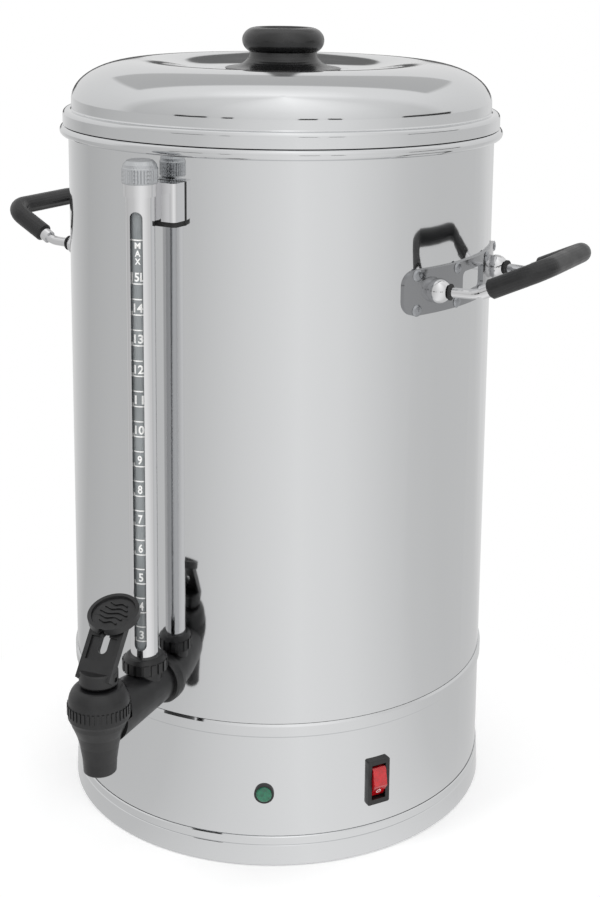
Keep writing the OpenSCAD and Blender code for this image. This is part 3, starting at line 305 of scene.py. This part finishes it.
def mineral_felt():
    """Pressed mineral felt: pale, fibrous and fully matt."""
    made, tree, shader, place = surface("mineral_felt", "#d3cbb6", 0.95, IOR=1.45)
    grain(tree, shader, place, 1.5, 0.3, detail=8.0, stretch=(1, 0.3, 1))
    tinted(tree, shader, place, 4, "#c5bca5", "#ded7c5")
    return made


def glazed_ceramic():
    """Steatite ceramic of the disc thermostats: off-white, faintly speckled."""
    made, tree, shader, place = surface("steatite_ceramic", "#e5dfcf", 0.4, IOR=1.6)
    tinted(tree, shader, place, 0.8, "#dcd5c3", "#ebe6d8")
    grain(tree, shader, place, 0.5, 0.01)
    return made


def natural_nylon():
    """Natural nylon of terminal blocks and nuts: cream, slightly see-through."""
    made, tree, shader, place = surface("natural_nylon", "#e2dac2", 0.42, IOR=1.53)
    seen_into(shader, 0.15, (2, 1.7, 1))
    grain(tree, shader, place, 0.6, 0.01)
    tinted(tree, shader, place, 7, "#dcd3ba", "#e8e1cb")
    return made


def lead_sleeving():
    """Braided glass sleeving over heat-proof leads: brown-red with a fine braid."""
    made, tree, shader, place = surface("braided_sleeving", "#7d3a29", 0.6, IOR=1.5)
    grain(tree, shader, place, 0.5, 0.05, detail=4.0)
    tinted(tree, shader, place, 1.2, "#6b2f20", "#8f4936")
    return made


def red_polycarbonate():
    """Tinted see-through polycarbonate of the rocker: bright red with a deep core and a wet gloss."""
    made, tree, shader, place = surface("red_polycarbonate", "#c00a16", 0.12, IOR=1.58)
    shader.inputs["Coat Weight"].default_value = 0.5
    seen_into(shader, 0.25, (4, 0.8, 0.8))
    tinted(tree, shader, place, 5, "#b00713", "#cc1520")
    varied(tree, shader, place, 3, 0.12, 0.2)
    return made


def green_polycarbonate():
    """Tinted lens of the lamp: deep green, glossy."""
    made, tree, shader, place = surface("green_polycarbonate", "#08674a", 0.1, IOR=1.58)
    shader.inputs["Coat Weight"].default_value = 0.5
    seen_into(shader, 0.25, (0.6, 3, 1.5))
    tinted(tree, shader, place, 3, "#065a40", "#0b7a58")
    return made


FINISHES = {
    "polished_steel": polished_sheet(), "bare_steel": mill_sheet(), "bright_chrome": chrome_plate(),
    "fastener_steel": zinc_steel(), "black_plastic": moulded_nylon(), "gloss_black": bakelite(),
    "black_rubber": black_rubber(), "silicone": seat_silicone(), "gauge_glass": gauge_tube(),
    "spreader_aluminium": cast_aluminium(), "element_sheath": heater_sheath(),
    "insulation_felt": mineral_felt(), "sensor_ceramic": glazed_ceramic(),
    "terminal_plastic": natural_nylon(), "lead_insulation": lead_sleeving(),
    "red_rocker": red_polycarbonate(), "green_lens": green_polycarbonate(),
}
TANK = tank_sheet()
PLATE = stamped_plate()
INK = screen_ink()
# Nodes whose finish differs from that of their slot.
OWN_FINISHES = {
    "tank_shell": TANK, "tank_floor": TANK, "gauge_cap": knurled_chrome(),
    "handle_plate_right": PLATE, "handle_plate_left": PLATE,
}
for part in frame["record"]["subparts"]:
    mesh = nodes[part["node"]].data
    mesh.materials.clear()
    mesh.materials.append(OWN_FINISHES.get(part["node"], FINISHES[part["material_slot"]]))


# ---------- smooth curve of the lid ----------

WELD_REACH = 0.002 * MM
DOME_SPLIT = math.radians(14)


def smoothed(name, split):
    """Shades the facets of a turned shape as one curve, and keeps the edges that turn by more than split."""
    piece = nodes[name]
    joined = piece.modifiers.new("joined", "WELD")
    joined.merge_threshold = WELD_REACH
    parted = piece.modifiers.new("split", "EDGE_SPLIT")
    parted.split_angle = split
    parted.use_edge_sharp = False
    piece.modifiers.new("shaded", "WEIGHTED_NORMAL").keep_sharp = False


smoothed("lid_dome", DOME_SPLIT)


# ---------- litre scale on the gauge ----------

glass_low, glass_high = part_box("gauge_glass")
GAUGE = axis_of("gauge_glass")
GLASS_R = (glass_high.x - glass_low.x) / 2
# The guard's slot faces this far round from -Y, and the scale is printed on the glass behind it.
WINDOW_TURN = math.radians(18)
SCALE_HALF_W = 5 * MM
WRAP_STEP = 0.5 * MM
INK_THICK = 0.06 * MM
INK_LIFT = 0.02 * MM

SCALE_ZERO = 93 * MM
LITRE = 17.8 * MM
FIRST_LITRE, LAST_LITRE = 3, 15
MAX_LINE = SCALE_ZERO + 16.4 * LITRE

# Lines: where they start and end round the glass. Each litre's line has a hook at its left end.
LINE_LEFT, LINE_RIGHT = -4.0 * MM, 4.0 * MM
HALF_LEFT, HALF_RIGHT = -3.5 * MM, 2.6 * MM
LINE_THICK = 0.75 * MM
HOOK_H = 1.7 * MM
HOOK_UP = 1.1 * MM

# Numerals, and the three letters that are set one under another below the top line.
CAPITAL_SHARE = 0.7
STROKE_GAIN = 0.18 * MM
NUMERAL_H = 4.9 * MM
NUMERAL_X = 0.3 * MM
NUMERAL_UP = 1.2 * MM
DIGIT_PITCH, DIGIT_GAP = 2.9 * MM, 0.2 * MM
LETTER_W, LETTER_H = 3.4 * MM, 3.3 * MM
LETTER_DOWN, LETTER_PITCH = 3.3 * MM, 4.5 * MM


def finished(name, bm, material, body, smooth=False):
    """Makes the bmesh an object at the origin that rides on a body."""
    mesh = bpy.data.meshes.new(name)
    bm.to_mesh(mesh)
    bm.free()
    for face in mesh.polygons:
        face.use_smooth = smooth
    mesh.materials.append(material)
    piece = bpy.data.objects.new(name, mesh)
    bpy.context.scene.collection.objects.link(piece)
    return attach(piece, body)


def lettering(text, height):
    """The mesh of a line of text whose capitals have the given height."""
    curve = bpy.data.curves.new("line", "FONT")
    curve.body = text
    curve.size = height / CAPITAL_SHARE
    curve.offset = STROKE_GAIN
    curve.resolution_u = 3
    curve.align_x, curve.align_y = "CENTER", "CENTER"
    holder = bpy.data.objects.new("line", curve)
    bpy.context.scene.collection.objects.link(holder)
    bpy.context.view_layer.update()
    mesh = bpy.data.meshes.new_from_object(holder.evaluated_get(bpy.context.evaluated_depsgraph_get()))
    bpy.data.objects.remove(holder)
    return mesh


def add_text(bm, text, x, z, width, height):
    """Adds a line of text, drawn to the width and height it is printed at."""
    mesh = lettering(text, height)
    across = [vert.co.x for vert in mesh.vertices]
    middle, squeeze = (max(across) + min(across)) / 2, width / (max(across) - min(across))
    before = len(bm.verts)
    bm.from_mesh(mesh)
    bm.verts.ensure_lookup_table()
    for vert in bm.verts[before:]:
        vert.co = Vector(((vert.co.x - middle) * squeeze + x, 0, vert.co.y + z))
    bpy.data.meshes.remove(mesh)


def add_bar(bm, x0, x1, z, thick):
    """A flat bar of ink from x0 to x1, at height z."""
    place = Matrix.Translation(((x0 + x1) / 2, 0, z)) @ Matrix.Rotation(math.pi / 2, 4, "X")
    size = Matrix.Diagonal((x1 - x0, thick, 1, 1))
    bmesh.ops.create_grid(bm, x_segments=1, y_segments=1, size=0.5, matrix=place @ size)


def wrapped(bm):
    """Lays flat ink round the glass tube: X becomes the way round, facing the window."""
    steps = round(SCALE_HALF_W / WRAP_STEP)
    for i in range(-steps, steps + 1):
        geometry = bm.verts[:] + bm.edges[:] + bm.faces[:]
        bmesh.ops.bisect_plane(bm, geom=geometry, plane_co=(i * WRAP_STEP, 0, 0), plane_no=(1, 0, 0))
    radius = GLASS_R + INK_LIFT
    for vert in bm.verts:
        turn = WINDOW_TURN + vert.co.x / radius
        vert.co = Vector((GAUGE.x + radius * math.sin(turn), GAUGE.y - radius * math.cos(turn), vert.co.z))
    outward = Vector((math.sin(WINDOW_TURN), -math.cos(WINDOW_TURN), 0))
    for face in bm.faces:
        face.normal_update()
        if face.normal.dot(outward) < 0:
            face.normal_flip()
    bmesh.ops.solidify(bm, geom=bm.faces[:], thickness=-INK_THICK)


def litre_marks():
    """A line with a hook under each litre, a shorter one at each half, and the line of the largest fill."""
    bm = bmesh.new()
    for litre in range(FIRST_LITRE, LAST_LITRE + 1):
        z = SCALE_ZERO + litre * LITRE
        add_bar(bm, LINE_LEFT, LINE_RIGHT, z, LINE_THICK)
        add_bar(bm, LINE_LEFT, LINE_LEFT + LINE_THICK, z + HOOK_UP, HOOK_H)
        if litre < LAST_LITRE:
            add_bar(bm, HALF_LEFT, HALF_RIGHT, z + LITRE / 2, LINE_THICK)
    add_bar(bm, LINE_LEFT, LINE_RIGHT, MAX_LINE, LINE_THICK)
    wrapped(bm)
    return finished("gauge_litre_marks", bm, INK, "urn")


def litre_numbers():
    """The number of each litre above its line, and the word for the largest fill, set downwards."""
    bm = bmesh.new()
    for litre in range(FIRST_LITRE, LAST_LITRE + 1):
        text = f"{litre}L" if litre == LAST_LITRE else str(litre)
        z = SCALE_ZERO + litre * LITRE + NUMERAL_UP + NUMERAL_H / 2
        add_text(bm, text, NUMERAL_X, z, len(text) * DIGIT_PITCH - DIGIT_GAP, NUMERAL_H)
    for row, letter in enumerate("MAX"):
        add_text(bm, letter, NUMERAL_X, MAX_LINE - LETTER_DOWN - row * LETTER_PITCH, LETTER_W, LETTER_H)
    wrapped(bm)
    return finished("gauge_litre_numbers", bm, INK, "urn")


litre_marks()
litre_numbers()


# ---------- off mark on the rocker ----------

PIVOT = Vector(joints["rocker_tilt"]["pos_m"])
ROCKER_TURN = math.atan2(PIVOT.x, -PIVOT.y)
ROCKER_LEAN = math.radians(11)
# The rocker's lower face falls from its ridge to its toe: how far each is out from the pivot, and below it.
RIDGE_OUT, RIDGE_DOWN = 8.3 * MM, 0.8 * MM
TOE_OUT, TOE_DOWN = 4.8 * MM, 9.4 * MM
# The O is a round ring, squeezed sideways and drawn upright.
RING_R = 1.75 * MM
RING_BORE_SHARE = 0.68
RING_SQUEEZE, RING_STRETCH = 0.85, 1.1
RING_THICK = 0.08 * MM
RING_LIFT = 0.06 * MM


def off_ring():
    """The O on the pressed-in half of the rocker, a thin ring laid on its sloping face."""
    bm = bmesh.new()
    bmesh.ops.create_circle(bm, segments=32, radius=RING_R)
    rim = bmesh.ops.extrude_edge_only(bm, edges=bm.edges[:])
    inner = [vert for vert in rim["geom"] if isinstance(vert, bmesh.types.BMVert)]
    bmesh.ops.scale(bm, vec=(RING_BORE_SHARE, RING_BORE_SHARE, 1), verts=inner)
    bmesh.ops.scale(bm, vec=(RING_SQUEEZE, RING_STRETCH, 1), verts=bm.verts[:])
    bmesh.ops.solidify(bm, geom=bm.faces[:], thickness=RING_THICK)
    fall = math.atan2(RIDGE_OUT - TOE_OUT, TOE_DOWN - RIDGE_DOWN)
    face_middle = Vector((0, -(RIDGE_OUT + TOE_OUT) / 2, -(RIDGE_DOWN + TOE_DOWN) / 2))
    lift = RING_LIFT * Vector((0, -math.cos(fall), -math.sin(fall)))
    lay = Matrix.Translation(face_middle + lift) @ Matrix.Rotation(math.pi / 2 + fall, 4, "X")
    wall = Matrix.Translation(PIVOT) @ Matrix.Rotation(ROCKER_TURN, 4, "Z")
    lean = Matrix.Rotation(ROCKER_LEAN, 4, "X")
    bmesh.ops.transform(bm, matrix=wall @ lean @ lay, verts=bm.verts[:])
    bmesh.ops.recalc_face_normals(bm, faces=bm.faces[:])
    return finished("rocker_off_mark", bm, INK, "rocker")


off_ring()


# ---------- spring in the tap ----------

SPRING_WIRE_R = 0.55 * MM
WIRE_SIDES = 8
SPRING_TURNS = 6
STEPS_PER_TURN = 20


def tap_spring():
    """The coil over the tap's stem, at one even pitch, drawn in place of the spring node."""
    low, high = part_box("tap_spring")
    middle = axis_of("tap_spring")
    height = high.z - low.z
    coil_r = (high.x - low.x) / 2 - SPRING_WIRE_R
    steps = SPRING_TURNS * STEPS_PER_TURN
    rise = (height - 2 * SPRING_WIRE_R) / steps
    bm = bmesh.new()
    start = Matrix.Translation(middle + Vector((coil_r, 0, low.z + SPRING_WIRE_R)))
    upright = Matrix.Rotation(math.pi / 2, 4, "X")
    bmesh.ops.create_circle(bm, segments=WIRE_SIDES, radius=SPRING_WIRE_R, matrix=start @ upright)
    bmesh.ops.spin(bm, geom=bm.verts[:] + bm.edges[:], cent=middle, axis=(0, 0, 1), dvec=(0, 0, rise),
                   angle=2 * math.pi * SPRING_TURNS, steps=steps)
    bmesh.ops.holes_fill(bm, edges=[edge for edge in bm.edges if edge.is_boundary])
    bmesh.ops.recalc_face_normals(bm, faces=bm.faces[:])
    coil = finished("tap_spring_coil", bm, FINISHES["fastener_steel"], "urn", smooth=True)
    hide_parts("tap_spring")
    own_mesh(coil)


tap_spring()


# ---------- studio ----------

# The camera looks along AWAY, which is +Y turned this far towards -X.
STUDIO_TURN = math.radians(31.13)
UP = (0, 0, 1)
AWAY = (-math.sin(STUDIO_TURN), math.cos(STUDIO_TURN), 0)
RIGHT = (math.cos(STUDIO_TURN), math.sin(STUDIO_TURN), 0)

# Grey levels of the walls by azimuth, in degrees from -Y towards +X. They change slowly, but for one dark
# gap far behind. On the floor, dark boards stand between pairs of azimuths.
WALL_TONES = [
    (-180, 0.78), (-164, 0.7), (-157, 0.2), (-141, 0.2), (-134, 0.7), (-128, 0.76), (-90, 0.55), (-65, 0.62),
    (-14, 0.69), (12, 0.84), (40, 0.97), (62, 0.92), (86, 0.80), (98, 0.73), (118, 0.69), (158, 0.68),
    (172, 0.76),
]
BOARDS = [(-27, -9), (0, 5), (38, 49), (54, 61), (97, 131)]
# Grey levels by height above the horizon, in degrees, on the camera's side of the urn and behind it.
FRONT_TONES = [(0, 0.96), (30, 1.05), (60, 1.2), (78, 1.3), (90, 1.3)]
BEHIND_TONES = [(0, 0.78), (28, 0.83), (66, 0.95), (90, 1.3)]

# Panels that the metal mirrors: each has a grey level, and limits with a soft edge. The beam's limits are
# how far over and aside it reaches for each unit up. The horizon's and the post's are for each unit away.
BEAM, BEAM_OVER, BEAM_ASIDE = 0.56, (0.65, 2.0, 0.03), (-0.8, 0.8, 0.04)
HORIZON, HORIZON_UP, HORIZON_ASIDE = 0.1, (-2, 0.058, 0.004), (-0.36, 0.36, 0.02)
POST, POST_UP, POST_ASIDE = 0.16, (0.03, 0.6, 0.01), (-0.015, 0.015, 0.003)
FAR_HALF = (0, 2, 0.01)
BOARD, BOARD_Z = 0.05, (-0.06, 0.07, 0.01)
BOARD_THERE = (0.5, 2, 0.1)

# The floor reaches past the view. Its paper holds the shadow near the urn, and is plain white beyond.
FLOOR_R = 12
LIT_PAPER_R, WHITE_PAPER_R = 0.15, 0.26
PAPER_GLOW = 0.2


def by_angle(tree, angle, reach, stops, stepped=False):
    """Grey level by an angle that runs from -reach to reach degrees."""
    limit = math.radians(reach)
    share = add(tree, "MapRange", {"Value": angle, "From Min": -limit, "From Max": limit})
    tones = add(tree, "ValToRGB", {"Fac": share.outputs[0]})
    if stepped:
        tones.color_ramp.interpolation = "CONSTANT"
    ramp_stops(tones, [((degrees + reach) / (2 * reach), grey) for degrees, grey in stops])
    return tones.outputs[0]


def by_azimuth(tree, direction, stops, stepped=False):
    """Grey level by azimuth, in degrees from -Y towards +X."""
    apart = add(tree, "SeparateXYZ", {"Vector": direction})
    front = add(tree, "Math", {0: apart.outputs["Y"], 1: -1.0}, operation="MULTIPLY").outputs[0]
    azimuth = add(tree, "Math", {0: apart.outputs["X"], 1: front}, operation="ARCTAN2").outputs[0]
    return by_angle(tree, azimuth, 180, stops, stepped)


def by_height(tree, direction, stops):
    """Grey level by height above the horizon, in degrees."""
    apart = add(tree, "SeparateXYZ", {"Vector": direction})
    height = add(tree, "Math", {0: apart.outputs["Z"]}, operation="ARCSINE").outputs[0]
    return by_angle(tree, height, 90, stops)


def component(tree, direction, along):
    """How far a direction goes along a unit vector."""
    return add(tree, "VectorMath", {0: direction, 1: along}, operation="DOT_PRODUCT").outputs["Value"]


def slope(tree, direction, along, over):
    """How far a direction leans along one vector for each unit that it goes over another."""
    reach = add(tree, "Math", {0: component(tree, direction, over), 1: 0.001}, operation="MAXIMUM").outputs[0]
    return add(tree, "Math", {0: component(tree, direction, along), 1: reach}, operation="DIVIDE").outputs[0]


def within(tree, value, low, high, soft):
    """1 where a value lies between two limits, with soft edges."""
    risen = add(tree, "MapRange", {"Value": value, "From Min": low - soft, "From Max": low + soft})
    fallen = add(tree, "MapRange", {"Value": value, "From Min": high + soft, "From Max": high - soft})
    return add(tree, "Math", {0: risen.outputs[0], 1: fallen.outputs[0]}, operation="MULTIPLY").outputs[0]


def panel(tree, tone, grey, spans):
    """Lays a panel of one grey over a tone. Each span is a value with its limits and its soft edge."""
    cover = 1.0
    for value, limits in spans:
        inside = within(tree, value, *limits)
        cover = add(tree, "Math", {0: cover, 1: inside}, operation="MULTIPLY").outputs[0]
    return add(tree, "MixRGB", {0: cover, 1: tone, 2: [grey] * 3 + [1.0]}).outputs[0]


def sky_tone(tree, direction):
    """Grey level of the studio's walls and ceiling, with a grey beam overhead and dark boards round it."""
    walls = by_azimuth(tree, direction, WALL_TONES)
    front = by_height(tree, direction, FRONT_TONES)
    behind = by_height(tree, direction, BEHIND_TONES)
    near = add(tree, "MixRGB", {0: 1.0, 1: walls, 2: front}, blend_type="MULTIPLY").outputs[0]
    facing = component(tree, direction, AWAY)
    weight = add(tree, "MapRange", {"Value": facing, "From Min": -0.1, "From Max": 0.1}).outputs[0]
    tone = add(tree, "MixRGB", {0: weight, 1: near, 2: behind}).outputs[0]

    over, aside = slope(tree, direction, AWAY, UP), slope(tree, direction, RIGHT, UP)
    tone = panel(tree, tone, BEAM, [(over, BEAM_OVER), (aside, BEAM_ASIDE)])
    rise, turn = slope(tree, direction, UP, AWAY), slope(tree, direction, RIGHT, AWAY)
    tone = panel(tree, tone, HORIZON, [(rise, HORIZON_UP), (turn, HORIZON_ASIDE), (facing, FAR_HALF)])
    tone = panel(tree, tone, POST, [(rise, POST_UP), (turn, POST_ASIDE), (facing, FAR_HALF)])

    edges = [(-180, 0.0)]
    for start, end in BOARDS:
        edges += [(start, 1.0), (end, 0.0)]
    boards = by_azimuth(tree, direction, edges, stepped=True)
    return panel(tree, tone, BOARD, [(boards, BOARD_THERE), (component(tree, direction, UP), BOARD_Z)])


def ray_kinds(tree):
    """Two values that are 1 for some rays: those that metal or glass sends on, and the camera's own."""
    light = add(tree, "LightPath")
    both = {0: light.outputs["Is Glossy Ray"], 1: light.outputs["Is Transmission Ray"]}
    return add(tree, "Math", both, operation="MAXIMUM").outputs[0], light.outputs["Is Camera Ray"]


def make_world():
    """White to the camera, the studio to mirrored rays, and an even soft light to all others."""
    world = bpy.data.worlds.new("studio")
    bpy.context.scene.world = world
    world.use_nodes = True
    tree = world.node_tree
    tree.nodes.clear()
    mirrored, camera_ray = ray_kinds(tree)
    tone = sky_tone(tree, add(tree, "TexCoord").outputs["Generated"])
    soft = add(tree, "Background", {"Color": linear("#e6e6e6"), "Strength": 0.75})
    white = add(tree, "Background", {"Color": [1, 1, 1, 1], "Strength": 1.0})
    studio = add(tree, "Background", {"Color": tone, "Strength": 1.0})
    unseen = add(tree, "MixShader", {0: mirrored, 1: soft.outputs[0], 2: studio.outputs[0]})
    last = add(tree, "MixShader", {0: camera_ray, 1: unseen.outputs[0], 2: white.outputs[0]})
    add(tree, "OutputWorld", {"Surface": last.outputs[0]})


def make_floor():
    """A round sheet of white paper. Metal and glass mirror the studio's walls in its place."""
    bm = bmesh.new()
    bmesh.ops.create_circle(bm, cap_ends=True, segments=64, radius=FLOOR_R)
    mesh = bpy.data.meshes.new("floor")
    bm.to_mesh(mesh)
    bm.free()
    floor = bpy.data.objects.new("floor", mesh)
    bpy.context.scene.collection.objects.link(floor)
    made = bpy.data.materials.new("white_paper_floor")
    made.use_nodes = True
    tree = made.node_tree
    tree.nodes.clear()
    place = add(tree, "TexCoord").outputs["Object"]
    mirrored, camera_ray = ray_kinds(tree)
    distance = add(tree, "VectorMath", {0: place}, operation="LENGTH").outputs["Value"]
    beyond = add(tree, "MapRange", {"Value": distance, "From Min": LIT_PAPER_R, "From Max": WHITE_PAPER_R})
    paper = add(tree, "BsdfDiffuse", {"Color": linear("#f4f4f4")})
    glow = add(tree, "Emission", {"Color": [1, 1, 1, 1], "Strength": PAPER_GLOW})
    lit = add(tree, "AddShader", {0: paper.outputs[0], 1: glow.outputs[0]})
    white = add(tree, "Emission", {"Color": [1, 1, 1, 1], "Strength": 1.0})
    shown = add(tree, "MixShader", {0: beyond.outputs[0], 1: lit.outputs[0], 2: white.outputs[0]})
    studio = add(tree, "Emission", {"Color": by_azimuth(tree, place, WALL_TONES), "Strength": 1.0})
    seen = add(tree, "MixShader", {0: camera_ray, 1: paper.outputs[0], 2: shown.outputs[0]})
    last = add(tree, "MixShader", {0: mirrored, 1: seen.outputs[0], 2: studio.outputs[0]})
    add(tree, "OutputMaterial", {"Surface": last.outputs[0]})
    mesh.materials.append(made)


def softbox(name, place, target, size, watts):
    """A rectangular lamp aimed at a point. Metal doesn't mirror it."""
    lamp = bpy.data.lights.new(name, "AREA")
    lamp.shape = "RECTANGLE"
    lamp.size, lamp.size_y = size
    lamp.energy = watts
    holder = bpy.data.objects.new(name, lamp)
    holder.location = place
    aim = Vector(target) - Vector(place)
    holder.rotation_euler = aim.to_track_quat("-Z", "Y").to_euler()
    holder.visible_glossy = False
    bpy.context.scene.collection.objects.link(holder)


def make_camera():
    """A long lens, a little above the knob. Its shift keeps the uprights nearly parallel."""
    data = bpy.data.cameras.new("camera")
    data.sensor_width = 36
    data.lens = 61.552
    data.shift_x, data.shift_y = -0.05674, -0.23
    data.clip_start, data.clip_end = 0.05, 60
    camera = bpy.data.objects.new("camera", data)
    camera.location = (0.506036, -0.838178, 0.543634)
    heading, dip, roll = 28.499, -10.679, 0.893
    turn = Euler((math.radians(90 + dip), 0, math.radians(heading))).to_matrix()
    camera.rotation_euler = (turn @ Matrix.Rotation(math.radians(roll), 3, "Z")).to_euler()
    bpy.context.scene.collection.objects.link(camera)
    bpy.context.scene.camera = camera


make_world()
make_floor()
softbox("key_softbox", (-0.9, -1.3, 1.7), (0, 0, 0.25), (1.0, 0.8), 16)
softbox("fill_softbox", (1.6, -0.9, 1.5), (0, 0, 0.25), (1.2, 1.2), 12)
softbox("top_softbox", (0.1, 0.3, 1.9), (0, 0, 0.3), (1.4, 1.0), 10)
make_camera()
bpy.context.scene.view_settings.view_transform = "Standard"
